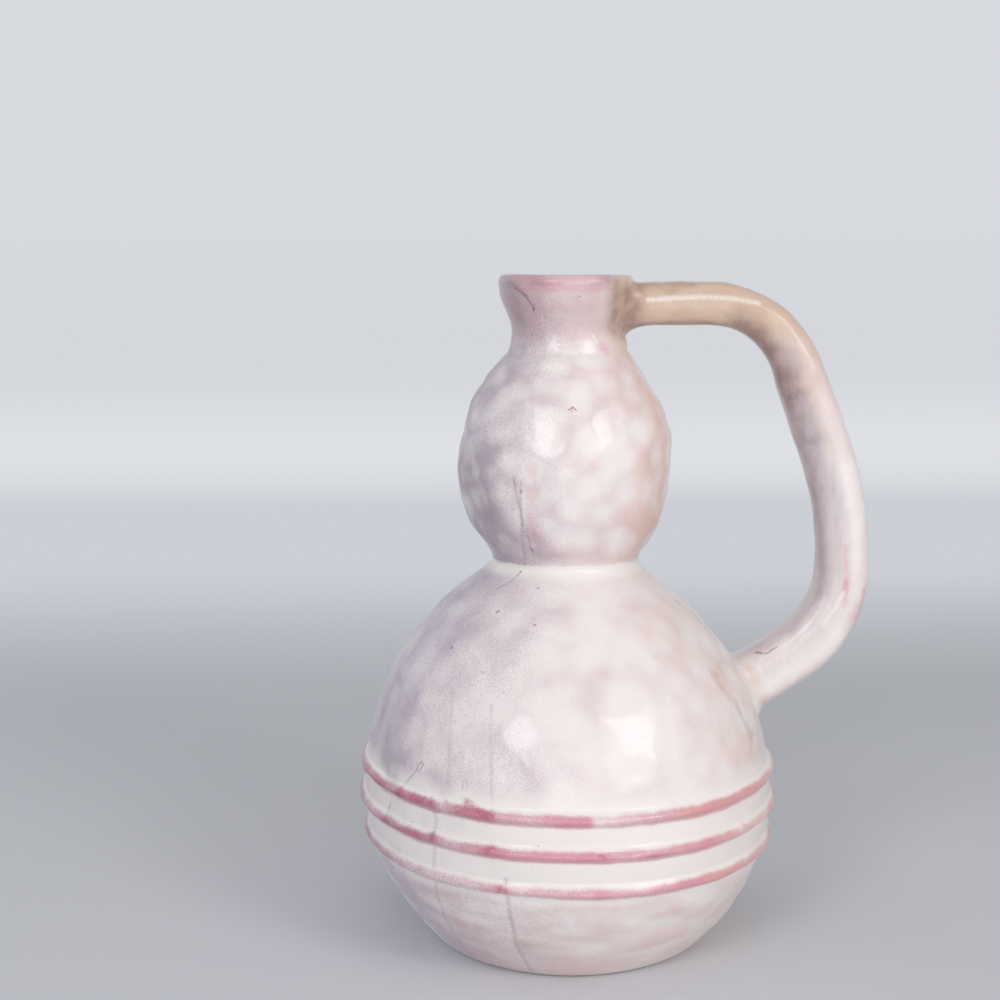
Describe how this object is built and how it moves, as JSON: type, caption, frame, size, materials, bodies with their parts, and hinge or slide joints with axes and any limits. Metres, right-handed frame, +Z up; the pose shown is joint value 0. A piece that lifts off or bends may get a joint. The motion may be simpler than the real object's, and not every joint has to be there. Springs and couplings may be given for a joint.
{
  "type": "handled double-gourd vase",
  "caption": "Double-gourd ceramic vase with a flared neck, raised ridges round the belly and a pulled side handle, in glossy mottled white glaze.",
  "frame": {"origin": "centre of the flat underside of the base", "axes": "+Z up along the axis of the gourds, +X towards the handle, +Y away from the viewer"},
  "size_m": [0.2167, 0.1772, 0.28],
  "materials": {
    "body_glaze": "glossy white glaze, mottled with mauve and warm pink, finely speckled",
    "ridge_glaze": "glossy glaze broken to dusky pink on the crest",
    "rim_glaze": "glossy thin glaze, pink over the edge",
    "handle_glaze": "glossy white glaze with beige and mauve streaks along its length",
    "base_glaze": "glossy glaze on the side, wiped bare and matt underneath"
  },
  "bodies": {
    "root": {"base_slab": "base_glaze", "lower_bowl": "body_glaze", "belly_dome": "body_glaze", "ridge_lower": "ridge_glaze", "ridge_middle": "ridge_glaze", "ridge_upper": "ridge_glaze", "waist_collar": "body_glaze", "bulb_lower": "body_glaze", "bulb_upper": "body_glaze", "neck": "body_glaze", "rim_lip": "rim_glaze", "handle": "handle_glaze", "handle_wad_upper": "handle_glaze", "handle_wad_lower": "handle_glaze"}
  },
  "joints": []
}
